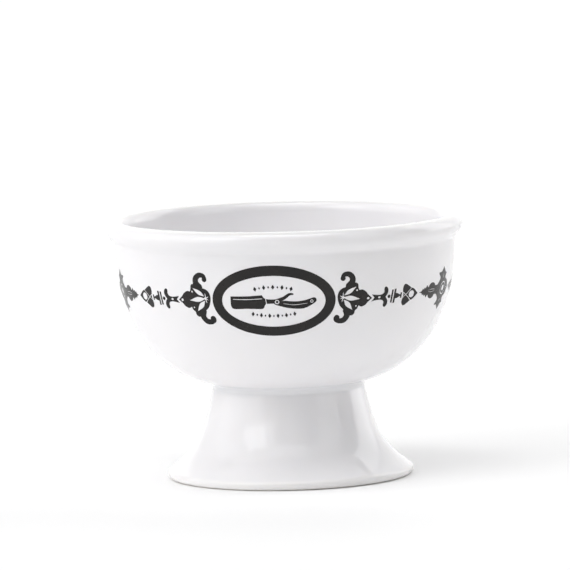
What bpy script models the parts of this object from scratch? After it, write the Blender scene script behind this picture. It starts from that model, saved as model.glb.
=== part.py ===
"""Footed porcelain shaving mug. Metres, +Z up, origin at the centre of the ring it stands on.

A turned bowl with a rolled lip is luted with slip onto a flared, hollow foot. Black transfers are fired
onto the belly: an oval frame with a razor in it at the front and at the back, and between them a chain of
scrollwork. Nothing on the mug moves.
"""

import math

import bmesh
import bpy
from mathutils import Matrix, Vector
from mathutils.geometry import delaunay_2d_cdt, interpolate_bezier

# Driving dimensions
LIP_RADIUS = 0.055
HEIGHT = 0.0805
FOOT_RADIUS = 0.038
NECK_RADIUS = 0.0234
SEAT_HEIGHT = 0.0290
WALL = 0.0038
BAND_HEIGHT = 0.0593
FRAME_WIDTH = 0.0378
FRAME_HEIGHT = 0.0223

# Fits: pieces that touch keep this gap
GAP = 0.0003
SLIP_THICKNESS = 0.0008
FILM_THICKNESS = 0.0003

# Fineness of the faceted solids
TURNS = 64
BELLY_STEPS = 13
WALL_STEPS = 12
EDGE_STEPS = 4
FOOT_STEPS = 8
STRIP = 0.0070

# Lip: height of the rolled edge over its widest circle, and how far its crest lies inside that circle
LIP_RISE = 0.0030
LIP_CREST_IN = 0.00285
LIP_DROP = 0.0048
SHOULDER_IN = 0.00245

LIP_SWELL_PULLS = (0.0016, 0.0023)

# Foot: standing ring, its rounded edge, and the pulls of the two flared curves as (radius, height)
RING_WIDTH = 0.0024
RING_EDGE = 0.0019
RING_EDGE_IN = 0.0017
FLARE_START = (-0.0008, 0.0030)
FLARE_LOW_PULL = (-0.0090, 0.0064)
FLARE_HIGH_PULL = (0.0030, -0.0135)
HOLLOW_HIGH_PULL = (0.0030, -0.0145)
HOLLOW_LOW_PULL = (-0.0072, 0.0068)
TOP_THICKENING = 0.0008

# Seat of the bowl on the foot, and how far the slip is smeared out under the belly
SEAT_IN = 0.0010
SLIP_SMEAR = 0.0016

# The belly line leaves the neck at a low angle and arrives under the lip nearly upright
NECK_RISE_ANGLE = math.radians(12)
NECK_PULL = 0.0179
SHOULDER_LEAN_ANGLE = math.radians(89)
SHOULDER_PULL = 0.0263

# Inside of the bowl
FLOOR_THICKNESS = 0.0047
FLOOR_PULL = 0.0340
INNER_LIP_IN = 0.00545
INNER_LIP_DROP = 0.0035
INNER_WALL_PULL = 0.0325

# Transfers, in millimetres along the band from the middle of the oval frame
FRAME_LINE = 3.1
ROSETTE_AT = 65.7
EMBLEM_HALF_LENGTH = 13.2
MM = 0.001

WHITE = (0.86, 0.86, 0.86, 1.0)
BISQUE = (0.80, 0.78, 0.74, 1.0)
BLACK = (0.02, 0.018, 0.017, 1.0)


def clear_scene():
    for thing in list(bpy.data.objects):
        bpy.data.objects.remove(thing)


def material(name, colour, roughness):
    made = bpy.data.materials.new(name)
    made.use_nodes = True
    surface = made.node_tree.nodes["Principled BSDF"]
    surface.inputs["Base Color"].default_value = colour
    surface.inputs["Roughness"].default_value = roughness
    surface.inputs["Metallic"].default_value = 0.0
    made.diffuse_color = colour
    return made


def at(radius, height):
    return Vector((radius, 0.0, height))


def polar(length, angle):
    return at(length * math.cos(angle), length * math.sin(angle))


def bezier(start, start_handle, end_handle, end, steps):
    return interpolate_bezier(start, start_handle, end_handle, end, steps + 1)


def quarter(centre, reach, rise, start_angle, steps):
    """A quarter of an ellipse, from start_angle turning anticlockwise in the radius and height plane."""
    angles = [start_angle + math.pi / 2 * i / steps for i in range(steps + 1)]
    return [centre + at(reach * math.cos(a), rise * math.sin(a)) for a in angles]


def joined(*stretches):
    """Stretches of a profile one after another, each starting where the last one ends."""
    points = list(stretches[0])
    for stretch in stretches[1:]:
        points += stretch[1:]
    return points


def turned(name, profile, finish, closed):
    """A solid of revolution. A closed profile is a loop off the axis; an open one starts and ends on it."""
    mesh = bmesh.new()
    corners = [mesh.verts.new(p) for p in profile]
    pairs = list(zip(corners, corners[1:]))
    if closed:
        pairs.append((corners[-1], corners[0]))
    edges = [mesh.edges.new(pair) for pair in pairs]
    bmesh.ops.spin(
        mesh, geom=corners + edges, axis=(0, 0, 1), cent=(0, 0, 0), steps=TURNS, angle=2 * math.pi
    )
    bmesh.ops.remove_doubles(mesh, verts=mesh.verts, dist=1e-6)
    bmesh.ops.recalc_face_normals(mesh, faces=mesh.faces)
    return placed(name, mesh, finish)


def placed(name, mesh, finish):
    data = bpy.data.meshes.new(name)
    mesh.to_mesh(data)
    mesh.free()
    data.materials.append(finish)
    data.shade_smooth()
    data.set_sharp_from_angle(angle=math.radians(40))
    piece = bpy.data.objects.new(name, data)
    bpy.context.scene.collection.objects.link(piece)
    return piece


# Profiles of the turned pieces

NECK = at(NECK_RADIUS - SEAT_IN, SEAT_HEIGHT)
SHOULDER = at(LIP_RADIUS - SHOULDER_IN, HEIGHT - LIP_RISE - LIP_DROP)
WIDEST = at(LIP_RADIUS, HEIGHT - LIP_RISE)


def belly_line(steps):
    return bezier(
        NECK,
        NECK + polar(NECK_PULL, NECK_RISE_ANGLE),
        SHOULDER - polar(SHOULDER_PULL, SHOULDER_LEAN_ANGLE),
        SHOULDER,
        steps,
    )


def lip_line():
    """Out from under the lip to its widest circle, over the crest and down to the inner wall."""
    crest_radius = LIP_RADIUS - LIP_CREST_IN
    inner_radius = LIP_RADIUS - INNER_LIP_IN
    low_pull, high_pull = LIP_SWELL_PULLS
    swell = bezier(
        SHOULDER, SHOULDER + at(0, low_pull), WIDEST - at(0, high_pull), WIDEST, EDGE_STEPS
    )
    outside = quarter(at(crest_radius, WIDEST.z), LIP_CREST_IN, LIP_RISE, 0.0, EDGE_STEPS)
    inside = quarter(
        at(crest_radius, HEIGHT - INNER_LIP_DROP),
        crest_radius - inner_radius,
        INNER_LIP_DROP,
        math.pi / 2,
        EDGE_STEPS,
    )
    return joined(swell, outside, inside)


def inner_line():
    """Down the inner wall and across the floor to the axis."""
    top = at(LIP_RADIUS - INNER_LIP_IN, HEIGHT - INNER_LIP_DROP)
    floor = at(0, SEAT_HEIGHT + FLOOR_THICKNESS)
    return bezier(
        top, top - at(0.001, INNER_WALL_PULL), floor + at(FLOOR_PULL, 0), floor, WALL_STEPS
    )


def bowl(finish):
    profile = joined([at(0, SEAT_HEIGHT), NECK], belly_line(BELLY_STEPS), lip_line(), inner_line())
    return turned("bowl", profile, finish, closed=False)


def foot(finish):
    """A flared tube: standing ring, rounded edge, waisted outside, flat top and a hollow inside."""
    top = SEAT_HEIGHT - 2 * GAP - SLIP_THICKNESS
    edge = quarter(
        at(FOOT_RADIUS - RING_EDGE_IN, RING_EDGE), RING_EDGE_IN, RING_EDGE, -math.pi / 2, EDGE_STEPS
    )
    flare_low = at(FOOT_RADIUS, 0) + at(*FLARE_START)
    flare_high = at(NECK_RADIUS, top)
    flare = bezier(
        flare_low,
        flare_low + at(*FLARE_LOW_PULL),
        flare_high + at(*FLARE_HIGH_PULL),
        flare_high,
        FOOT_STEPS,
    )
    hollow_high = at(NECK_RADIUS - WALL - TOP_THICKENING, top)
    hollow_low = at(FOOT_RADIUS - RING_EDGE_IN - RING_WIDTH, 0)
    hollow = bezier(
        hollow_high,
        hollow_high + at(*HOLLOW_HIGH_PULL),
        hollow_low + at(*HOLLOW_LOW_PULL),
        hollow_low,
        FOOT_STEPS,
    )
    return turned("foot", edge + flare + hollow, finish, closed=True)


def luting_seam(finish):
    """The ring of slip between foot and bowl, sponged to a small hollow fillet on the outside."""
    low = SEAT_HEIGHT - GAP - SLIP_THICKNESS
    high = SEAT_HEIGHT - GAP
    inner = NECK_RADIUS - WALL - TOP_THICKENING / 2
    fillet_low = at(NECK_RADIUS, low)
    fillet_high = at(NECK.x + SLIP_SMEAR, high)
    corner = at(NECK_RADIUS, high)
    fillet = bezier(
        fillet_low, fillet_low.lerp(corner, 0.6), fillet_high.lerp(corner, 0.6), fillet_high, EDGE_STEPS
    )
    profile = [at(inner, low)] + fillet + [at(inner, high)]
    return turned("luting_seam", profile, finish, closed=True)


# Flat drawings of the transfers, in millimetres: x runs along the band, y up it


def ellipse(x, y, half_width, half_height, steps):
    angles = [2 * math.pi * i / steps for i in range(steps)]
    return [(x + half_width * math.cos(a), y + half_height * math.sin(a)) for a in angles]


def leaf(x0, y0, x1, y1, width):
    """A pointed leaf from one end to the other, widest in the middle."""
    start, end = Vector((x0, y0)), Vector((x1, y1))
    across = Vector((y0 - y1, x1 - x0)).normalized() * width / 2
    sides = [(0.25, 0.75), (0.5, 1.0), (0.75, 0.75)]
    there = [start.lerp(end, along) - across * share for along, share in sides]
    back = [start.lerp(end, along) + across * share for along, share in reversed(sides)]
    return [tuple(p) for p in [start] + there + [end] + back]


def ribbon(points, widths):
    """A stroke of changing width along a few points."""
    path = [Vector(p) for p in points]
    left, right = [], []
    for i, point in enumerate(path):
        ahead = path[min(i + 1, len(path) - 1)] - path[max(i - 1, 0)]
        across = Vector((-ahead.y, ahead.x)).normalized() * widths[i] / 2
        left.append(tuple(point + across))
        right.append(tuple(point - across))
    return right + left[::-1]


def hook(x, y, radius, start_angle, sweep, widths):
    """A stroke round part of a circle."""
    steps = len(widths) - 1
    angles = [math.radians(start_angle + sweep * i / steps) for i in range(steps + 1)]
    return ribbon([(x + radius * math.cos(a), y + radius * math.sin(a)) for a in angles], widths)


def both(outline):
    """An outline and its mirror image across the band's middle line."""
    return [outline, [(x, -y) for x, y in reversed(outline)]]


def across_middle(half):
    """A closed outline from its upper half, whose ends lie on the middle line."""
    return half + [(x, -y) for x, y in reversed(half[1:-1])]


def oval_frame():
    half_width, half_height = FRAME_WIDTH / MM / 2, FRAME_HEIGHT / MM / 2
    outer = ellipse(0, 0, half_width, half_height, 36)
    inner = ellipse(0, 0, half_width - FRAME_LINE, half_height - FRAME_LINE, 36)
    return [outer], [inner]


def razor():
    """An open razor: blade to the left, pin, scales to the right."""
    end = EMBLEM_HALF_LENGTH
    blade = [(-end, 1.4), (-end, -1.2), (1 - end, -2.0), (-3.4, -2.0), (-2.6, -0.9), (1.6, -0.5)]
    blade += [(1.6, 0.7), (-2.4, 1.1), (-4.0, 1.7), (1 - end, 1.7)]
    scales = [(-0.7, 0), (0.2, -1.2), (6.0, -1.3), (10.5, -1.5), (end - 0.2, -0.9)]
    scales += [(end, 0.3), (11.0, 1.2), (6.0, 1.5), (0.2, 1.3)]
    return [blade, scales], [ellipse(1.1, 0, 0.4, 0.4, 6)]


def palmette():
    """Heart, bulb and point, with two volutes that curl back to the frame and three leaves cut out."""
    tip = across_middle([(28.6, 0), (28.8, 1.8), (29.8, 0.8), (31.0, 0)])
    outlines = [ellipse(23.1, 0, 3.5, 4.1, 12), ellipse(27.2, 0, 2.3, 2.6, 10), tip]
    outlines += both(ellipse(25.7, 4.1, 0.8, 0.8, 6))
    outlines += both(ribbon([(23.5, 2.6), (24.4, 4.6), (24.3, 6.1)], [2.4, 1.9, 1.6]))
    outlines += both(hook(22.75, 6.1, 1.55, -5, 190, [1.6, 1.5, 1.4, 1.2, 1.1]))
    outlines += both(ellipse(21.25, 5.95, 0.8, 0.8, 6))
    cuts = [leaf(20.9, 0, 26.6, 0, 1.5)] + both(leaf(21.4, 1.1, 24.5, 3.2, 1.1))
    return outlines, cuts


def link():
    """A waisted bar with two horns."""
    bar = across_middle([(31.7, 0), (31.1, 1.1), (33.0, 0.75), (34.6, 1.0), (35.0, 0)])
    horn = ribbon([(34.0, 0.5), (35.3, 1.1), (36.0, 2.1), (35.8, 3.2)], [1.3, 1.1, 0.9, 0.6])
    return [bar] + both(horn), []


def upright(x, width, half_height):
    """A narrow rectangle that stands across the band's middle line."""
    left, right = x - width / 2, x + width / 2
    return [(left, -half_height), (right, -half_height), (right, half_height), (left, half_height)]


def baluster():
    """A turned rod on a stem: bead, two collars, a vase and an end collar."""
    stem = upright(39.7, 5.2, 0.3)
    bead = ellipse(37.3, 0, 0.55, 0.6, 6)
    vase = [(40.1, -1.0), (41.6, -0.45), (41.6, 0.45), (40.1, 1.0)]
    collars = [upright(38.6, 0.55, 2.2), upright(39.55, 0.55, 2.0), upright(42.2, 0.5, 0.9)]
    return [stem, bead, vase] + collars, []


def spade():
    """A pointed lozenge with an eye, and a round lobe on each side of its foot."""
    lozenge = across_middle([(43.2, 0), (45.0, 1.6), (46.6, 1.9), (48.2, 0.9), (49.8, 0)])
    lobe = ribbon([(43.5, 2.9), (44.2, 2.1), (45.5, 0.9)], [1.2, 2.1, 1.2])
    return [lozenge] + both(lobe), [ellipse(46.5, 0, 1.15, 1.05, 8)]


def finial():
    """A cone of scales on two round bulbs, pointing at the spade."""
    scales = [(50.4, 0), (51.8, 0.5), (52.1, 1.0), (52.9, 0.7), (53.4, 1.4), (54.2, 1.0)]
    cone = across_middle(scales + [(54.9, 1.9), (55.8, 1.2), (57.5, 0)])
    neck = ribbon([(57.5, 0), (61.0, 0)], [2.2, 1.2])
    return [cone, neck] + both(ellipse(57.5, 1.0, 1.6, 1.45, 10)), []


def rosette():
    """A ringed flower with a long leaf above and below it."""
    petals = 8
    outline = []
    for i in range(2 * petals):
        reach = 4.2 if i % 2 == 0 else 2.9
        angle = math.pi * i / petals
        outline.append((ROSETTE_AT + reach * math.cos(angle), reach * math.sin(angle)))
    leaves = both(leaf(ROSETTE_AT, 2.2, ROSETTE_AT, 6.6, 1.9))
    return [outline] + leaves, [ellipse(ROSETTE_AT, 0, 1.0, 1.0, 8)]


def side_spindle():
    """A lozenge on a long stem with a collar and a point at each end, a quarter of the way round."""
    x = math.pi / 2 * BAND_RADIUS / MM
    lozenge = [(x - 2.4, 0), (x, -2.6), (x + 2.4, 0), (x, 2.6)]
    outlines = [lozenge, upright(x, 12.0, 0.35)]
    for way in (-1, 1):
        outlines.append(upright(x + way * 4.0, 0.7, 1.7))
        outlines.append([(x + way * 5.4, -1.0), (x + way * 7.6, 0), (x + way * 5.4, 1.0)])
    return outlines, [ellipse(x, 0, 0.9, 1.0, 8)]


# Laying the drawings round the belly


def belly_lookup():
    """Points of the belly with their distance along it, measured from the band's height."""
    line = belly_line(200)
    lengths = [0.0]
    for a, b in zip(line, line[1:]):
        lengths.append(lengths[-1] + (b - a).length)
    middle = min(range(len(line)), key=lambda i: abs(line[i].z - BAND_HEIGHT))
    return [(length - lengths[middle], p) for length, p in zip(lengths, line)], line[middle].x


BELLY, BAND_RADIUS = belly_lookup()


def on_belly(along, up, turn):
    """The belly's point and outward direction at a distance along the band and up it."""
    for (low, below), (high, above) in zip(BELLY, BELLY[1:]):
        if up <= high:
            break
    point = below.lerp(above, (up - low) / (high - low))
    slope = above - below
    outward = at(slope.z, -slope.x).normalized()
    spun = Matrix.Rotation(turn + along / BAND_RADIUS - math.pi / 2, 3, "Z")
    return spun @ point, spun @ outward


def anticlockwise(outline):
    area = sum(a[0] * b[1] - b[0] * a[1] for a, b in zip(outline, outline[1:] + outline[:1]))
    return outline if area > 0 else outline[::-1]


def flat_triangles(outlines, cuts):
    """The drawing as triangles: inside an outline, outside every cut, and split so that it can bend."""
    points, edges, faces = [], [], []
    for outline in outlines + cuts:
        first = len(points)
        points += [Vector(p) for p in anticlockwise(outline)]
        faces.append(list(range(first, len(points))))
    strip = STRIP / MM
    xs = [p.x for p in points]
    ys = [p.y for p in points]
    for k in range(math.ceil(min(xs) / strip), math.floor(max(xs) / strip) + 1):
        edges.append((len(points), len(points) + 1))
        points += [Vector((k * strip, min(ys) - 1)), Vector((k * strip, max(ys) + 1))]
    for k in range(math.ceil(min(ys) / strip), math.floor(max(ys) / strip) + 1):
        edges.append((len(points), len(points) + 1))
        points += [Vector((min(xs) - 1, k * strip)), Vector((max(xs) + 1, k * strip))]
    corners, _, triangles, _, _, sources = delaunay_2d_cdt(points, edges, faces, 0, 1e-4)
    kept = []
    for triangle, inside in zip(triangles, sources):
        if inside and max(inside) < len(outlines):
            kept.append(triangle)
    return corners, kept


def transfer(name, drawing, side, turn, finish):
    """One fired-on print. side is -1 for the mirror image, to the left of its oval frame."""
    outlines, cuts = drawing()
    outlines = [[(side * x, y) for x, y in outline] for outline in outlines]
    cuts = [[(side * x, y) for x, y in outline] for outline in cuts]
    corners, triangles = flat_triangles(outlines, cuts)
    mesh = bmesh.new()
    under, over = {}, {}
    for i in sorted({i for triangle in triangles for i in triangle}):
        point, outward = on_belly(corners[i].x * MM, corners[i].y * MM, turn)
        under[i] = mesh.verts.new(point + outward * GAP)
        over[i] = mesh.verts.new(point + outward * (GAP + FILM_THICKNESS))
    for a, b, c in triangles:
        mesh.faces.new((over[a], over[b], over[c]))
        mesh.faces.new((under[c], under[b], under[a]))
    edges = {edge: None for a, b, c in triangles for edge in ((a, b), (b, c), (c, a))}
    for a, b in edges:
        if (b, a) not in edges:
            mesh.faces.new((over[b], over[a], under[a], under[b]))
    bmesh.ops.recalc_face_normals(mesh, faces=mesh.faces)
    return placed(name, mesh, finish)


def transfers(finish):
    chain = [palmette, link, baluster, spade, finial, rosette]
    for face, turn in (("front", 0.0), ("back", math.pi)):
        transfer(face + "_oval_frame", oval_frame, 1, turn, finish)
        transfer(face + "_razor", razor, 1, turn, finish)
        for side_name, side in (("left", -1), ("right", 1)):
            for drawing in chain:
                transfer(f"{face}_{side_name}_{drawing.__name__}", drawing, side, turn, finish)
    transfer("left_side_spindle", side_spindle, -1, 0.0, finish)
    transfer("right_side_spindle", side_spindle, 1, 0.0, finish)


clear_scene()
glaze = material("white_glaze", WHITE, 0.12)
bowl(glaze)
foot(glaze)
luting_seam(material("slip", BISQUE, 0.5))
transfers(material("black_enamel", BLACK, 0.2))
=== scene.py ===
# %% [markdown]
# # A footed porcelain shaving mug
#
# The mug is a white lathering bowl on a flared, hollow foot, with a black band printed round its belly.
# It is made the way a pottery makes it: two turned pieces, a ring of slip that joins them, a clear glaze
# over everything and printed transfers fired on top. Each of those steps is one part of this script.
#
# The CAD model already fixes every size, so it is loaded first and measured. The pieces made here are
# finer versions of the CAD solids, in the same places.

# %% Load the frame
import math

import bmesh
import bpy
from mathutils import Euler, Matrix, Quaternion, Vector
from mathutils.geometry import delaunay_2d_cdt, interpolate_bezier


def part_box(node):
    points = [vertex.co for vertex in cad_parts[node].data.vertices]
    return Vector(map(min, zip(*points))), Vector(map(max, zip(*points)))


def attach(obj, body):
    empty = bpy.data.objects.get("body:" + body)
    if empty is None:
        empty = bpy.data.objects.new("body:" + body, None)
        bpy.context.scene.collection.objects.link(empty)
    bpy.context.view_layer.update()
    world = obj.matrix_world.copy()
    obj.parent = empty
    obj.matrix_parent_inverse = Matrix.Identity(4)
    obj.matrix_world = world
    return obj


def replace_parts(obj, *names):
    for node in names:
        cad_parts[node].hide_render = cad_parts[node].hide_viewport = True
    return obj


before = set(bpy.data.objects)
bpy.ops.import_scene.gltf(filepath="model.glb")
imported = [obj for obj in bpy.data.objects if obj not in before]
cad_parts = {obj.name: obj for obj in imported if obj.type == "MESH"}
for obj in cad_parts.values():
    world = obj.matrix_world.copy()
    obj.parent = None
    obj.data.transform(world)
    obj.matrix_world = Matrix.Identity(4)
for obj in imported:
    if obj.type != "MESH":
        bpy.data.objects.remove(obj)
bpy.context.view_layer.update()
MM = 0.001
ML = 0.01**3

bowl_low, bowl_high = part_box("bowl")
_, foot_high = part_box("foot")
RIM_HEIGHT = bowl_high.z
LIP_RADIUS = bowl_high.x
SEAT_HEIGHT = bowl_low.z
FOOT_RADIUS = foot_high.x
print(f"lip {2 * LIP_RADIUS / MM:.1f} mm across and {RIM_HEIGHT / MM:.1f} mm up")
print(f"foot {2 * FOOT_RADIUS / MM:.1f} mm across, bowl seated on it {SEAT_HEIGHT / MM:.1f} mm up")

# %% [markdown]
# ## Writing node trees as Python
#
# Materials and Geometry Nodes are both graphs of nodes joined by wires. Building them by hand takes many
# lines that hide the idea. Here a small class stands for a wire, and Python's own operators add the Math
# nodes: `1 - mask` or `radius * 2` read as they would on paper. Every other kind of node comes from one
# method, which takes the node's type, what goes into its sockets, and its settings by name.

# %% Wires and graphs


class Wire:
    """A node's output, which can be used in arithmetic like a number."""

    def __init__(self, graph, socket):
        self.graph = graph
        self.socket = socket

    def output(self, name):
        """Another output of the same node."""
        return Wire(self.graph, self.socket.node.outputs[name])

    def __add__(self, other):
        return self.graph.maths("ADD", self, other)

    def __sub__(self, other):
        return self.graph.maths("SUBTRACT", self, other)

    def __rsub__(self, other):
        return self.graph.maths("SUBTRACT", other, self)

    def __mul__(self, other):
        return self.graph.maths("MULTIPLY", self, other)

    def __truediv__(self, other):
        return self.graph.maths("DIVIDE", self, other)

    def __pow__(self, other):
        return self.graph.maths("POWER", self, other)

    __radd__ = __add__
    __rmul__ = __mul__


SPOT_CORE = 0.5
CHOICE_EDGE = 0.01


class Graph:
    """A node tree that is written line by line."""

    def __init__(self, tree):
        self.tree = tree

    def node(self, kind, sockets=None, **settings):
        """Adds a node, sets it, fills its sockets with values or wires, and gives its first output."""
        made = self.tree.nodes.new(kind)
        for name, value in settings.items():
            setattr(made, name, value)
        for key, value in (sockets or {}).items():
            socket = made.inputs[key] if isinstance(key, int) else self.open_socket(made.inputs, key)
            if isinstance(value, Wire):
                self.tree.links.new(value.socket, socket)
            else:
                socket.default_value = value
        return Wire(self, self.open_socket(made.outputs)) if made.outputs else made

    @staticmethod
    def open_socket(sockets, name=None):
        """The first socket in use with that name. A Mix node, for one, keeps unused ones too."""
        return next(s for s in sockets if s.enabled and name in (None, s.name))

    def maths(self, operation, *numbers):
            return self.node("ShaderNodeMath", dict(enumerate(numbers)), operation=operation)

    def vectors(self, operation, first, second):
        """Arithmetic on vectors. SCALE takes a number second, and it has a socket of its own."""
        sockets = {0: first, "Scale" if operation == "SCALE" else 1: second}
        return self.node("ShaderNodeVectorMath", sockets, operation=operation)

    def axes(self, vector):
        """The x, y and z of a vector, as three wires."""
        split = self.node("ShaderNodeSeparateXYZ", {"Vector": vector})
        return [split.output(axis) for axis in "XYZ"]

    def blend(self, share, first, second):
        """Two colours mixed by a share from 0 to 1."""
        return self.node("ShaderNodeMix", {"Factor": share, "A": first, "B": second}, data_type="RGBA")

    def rise(self, value, low, high):
        """0 up to low, 1 from high on, and a smooth passage between them."""
        sockets = {"Value": value, "From Min": low, "From Max": high}
        return self.node("ShaderNodeMapRange", sockets, interpolation_type="SMOOTHSTEP")

    def noise(self, place, per_metre, detail=2.0):
        """Soft random mottling with that many blotches to the metre, from 0 to 1."""
        return self.node("ShaderNodeTexNoise", {"Vector": place, "Scale": per_metre, "Detail": detail})

    def spots(self, place, per_metre, radius, share):
        """1 inside small round spots, of which there are a few in each metre, and 0 outside them."""
        cells = self.node("ShaderNodeTexVoronoi", {"Vector": place, "Scale": per_metre})
        chosen = self.node("ShaderNodeSeparateColor", {"Color": cells.output("Color")})
        near = 1 - self.rise(cells, SPOT_CORE * radius * per_metre, radius * per_metre)
        return near * self.rise(chosen, 1 - share, 1 - share + CHOICE_EDGE)


print("a Graph can make:", [name for name in vars(Graph) if not name.startswith("_")])

# %% [markdown]
# ## Growing pieces with Geometry Nodes
#
# A Geometry Nodes tree is a recipe: a seed mesh goes in, a finished piece comes out, and the sizes stay
# open as named inputs. The recipes here always end the same way, with Realize Instances, which turns
# copies into real faces, and Set Material. `grown` puts the recipes on a seed and keeps the plain mesh.

# %% Helpers for the trees


def new_recipe(name, inputs):
    """A tree with a geometry socket on each side and a named input for each size, and its input wires."""
    tree = bpy.data.node_groups.new(name, "GeometryNodeTree")
    tree.interface.new_socket("Geometry", in_out="INPUT", socket_type="NodeSocketGeometry")
    for label, kind in inputs.items():
        tree.interface.new_socket(label, in_out="INPUT", socket_type="NodeSocket" + kind)
    tree.interface.new_socket("Geometry", in_out="OUTPUT", socket_type="NodeSocketGeometry")
    graph = Graph(tree)
    entry = graph.node("NodeGroupInput")
    return graph, {label: entry.output(label) for label in ["Geometry", *inputs]}


def end_recipe(graph, geometry, finish):
    real = graph.node("GeometryNodeRealizeInstances", {"Geometry": geometry})
    dressed = graph.node("GeometryNodeSetMaterial", {"Geometry": real, "Material": finish})
    graph.node("NodeGroupOutput", {"Geometry": dressed})
    return graph.tree


def grown(name, seed, *recipes):
    """Puts recipes, each with the values of its inputs, on a seed mesh and keeps the mesh they make."""
    piece = bpy.data.objects.new(name, seed)
    bpy.context.scene.collection.objects.link(piece)
    for tree, values in recipes:
        sockets = {s.name: s.identifier for s in tree.interface.items_tree if s.in_out == "INPUT"}
        modifier = piece.modifiers.new(tree.name, "NODES")
        modifier.node_group = tree
        for label, value in values.items():
            modifier[sockets[label]] = value
    depsgraph = bpy.context.evaluated_depsgraph_get()
    mesh = bpy.data.meshes.new_from_object(piece.evaluated_get(depsgraph))
    piece.modifiers.clear()
    piece.data = mesh
    mesh.name = name
    return piece


def seed_line(name, points):
    """A mesh that is only a line of points."""
    line = bpy.data.meshes.new(name)
    line.from_pydata(points, [(i, i + 1) for i in range(len(points) - 1)], [])
    return line


def measured(piece):
    """Prints how large a piece is and how much it would hold if it were cast solid."""
    shape = bmesh.new()
    shape.from_mesh(piece.data)
    volume = shape.calc_volume(signed=True)
    loose = sum(not edge.is_manifold for edge in shape.edges)
    shape.free()
    size = [round(side / MM, 1) for side in piece.dimensions]
    faces = len(piece.data.polygons)
    print(f"{piece.name}: {faces} faces, {size} mm, {volume / ML:.3f} ml, {loose} open edges")


# %% [markdown]
# ## How a pot is out of true
#
# A thrown pot is never a perfect figure of revolution. It dries and fires a little oval, and its walls
# drift by about a tenth of a millimetre. A slow noise over space gives that drift. The bowl, the foot,
# the seam and the prints all use the same noise, so they move together, and it fades to nothing at the
# ring that the mug stands on, which is ground flat.

# %% Drift shared by every piece
DRIFT = 0.10 * MM
DRIFT_WAVES_PER_METRE = 16.0
GROUND_FLAT_TO = 4 * MM


def drifted(graph, place, amount):
    """The place moved by the drift of the fired pot, by up to that amount along each axis."""
    waves = graph.noise(place, DRIFT_WAVES_PER_METRE, 0.0).output("Color")
    centred = graph.vectors("SUBTRACT", waves, (0.5, 0.5, 0.5))
    _, _, height = graph.axes(place)
    strength = 2 * amount * graph.rise(height, 0.0, GROUND_FLAT_TO)
    return graph.vectors("ADD", place, graph.vectors("SCALE", centred, strength))


print("drift of the walls, in mm:", DRIFT / MM)

# %% [markdown]
# ## Glazed porcelain
#
# Porcelain is white clay under a clear glass. What makes it look like more than white paint is small:
# the glaze pools in hollows, thins over edges and is wiped off the ring that the mug stands on, a few
# iron specks survive the kiln, and the surface is not quite smooth. The pooled glaze is also made darker
# as painted shade in the crease of the neck. Every finish starts as an empty material and ends in a
# bump, one Principled shader and the output, so two helpers take those up.

# %% Starting and ending a finish


def new_finish(name):
    made = bpy.data.materials.new(name)
    made.use_nodes = True
    made.node_tree.nodes.clear()
    return made, Graph(made.node_tree)


def end_finish(graph, relief, sockets):
    """Adds a bump from a relief in metres, the Principled shader with its sockets, and the output."""
    normal = graph.node("ShaderNodeBump", {"Height": relief, "Strength": 1.0, "Distance": 1.0})
    shader = graph.node("ShaderNodeBsdfPrincipled", {**sockets, "Normal": normal})
    graph.node("ShaderNodeOutputMaterial", {"Surface": shader})


print("materials before the first finish:", len(bpy.data.materials))

# %% [markdown]
# The masks come first. Each is a rise or a fall over a stretch of height or radius, in metres, and a
# mottling makes its edge wander, because glaze never stops along a drawn line. Pooled glaze, slightly
# blue and darker, lies in a collar round the neck and in the well of the bowl; in the crease of the neck
# the darker collar is painted shade as well. Thin glaze lies on the crest of the lip and the toe of the
# foot, the two edges that it runs off.

# %% Masks for the glaze
FLOOR_THICKNESS = 4.7 * MM
MOTTLES_PER_METRE = 90.0
COLLAR_REACH = 3.0 * MM
COLLAR_INSIDE = (18 * MM, 22 * MM)
COLLAR_OUTSIDE = (25 * MM, 31 * MM)
WELL_STARTS = (3 * MM, 4 * MM)
WELL_DEEP_TO = 9 * MM
WELL_RADII = (12 * MM, 30 * MM)
COLLAR_SHARE, WELL_SHARE, MOTTLE_SHARE = 0.6, 0.45, 0.35
POOLED_AND_SHADED_RANGE = (0.1, 1.1)
EDGE_WANDER = 1.2 * MM
CREST_DEPTH = 1.5 * MM
TOE_DEPTH = 1.3 * MM
TOE_UP_TO = (4 * MM, 6 * MM)
THIN_RANGE = (0.0, 1.6)
BARE_UP_TO = (0.25 * MM, 0.55 * MM)
BARE_WANDER = 0.5 * MM


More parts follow.
